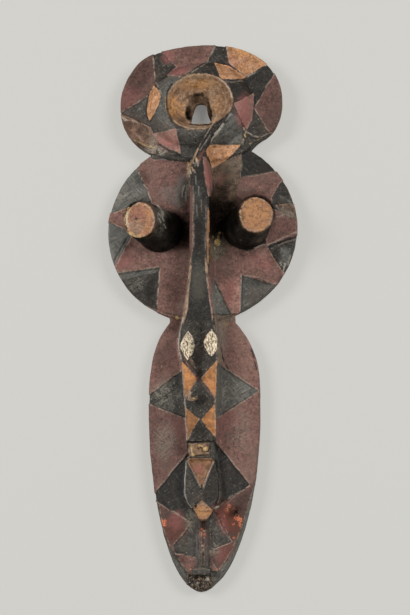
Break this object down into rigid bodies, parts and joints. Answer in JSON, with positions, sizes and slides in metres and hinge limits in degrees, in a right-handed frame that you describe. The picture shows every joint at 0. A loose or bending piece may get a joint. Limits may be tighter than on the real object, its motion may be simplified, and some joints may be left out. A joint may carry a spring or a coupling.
{
  "type": "carved crest mask",
  "caption": "Painted wooden crest mask with an oval board, a round face board with stalk eyes, and a leaf-shaped board with a snake along it.",
  "frame": {"origin": "under the middle of the mask, on the plane of its back, which it lies on", "axes": "+Z out of the face, +Y along the mask towards the oval board with the mouth, +X to the right as seen from the front"},
  "size_m": [0.251, 0.73, 0.0874],
  "materials": {
    "painted_wood": "worn matt paint, red, black and ochre"
  },
  "bodies": {
    "root": {"carved_mask": "painted_wood"}
  },
  "joints": []
}
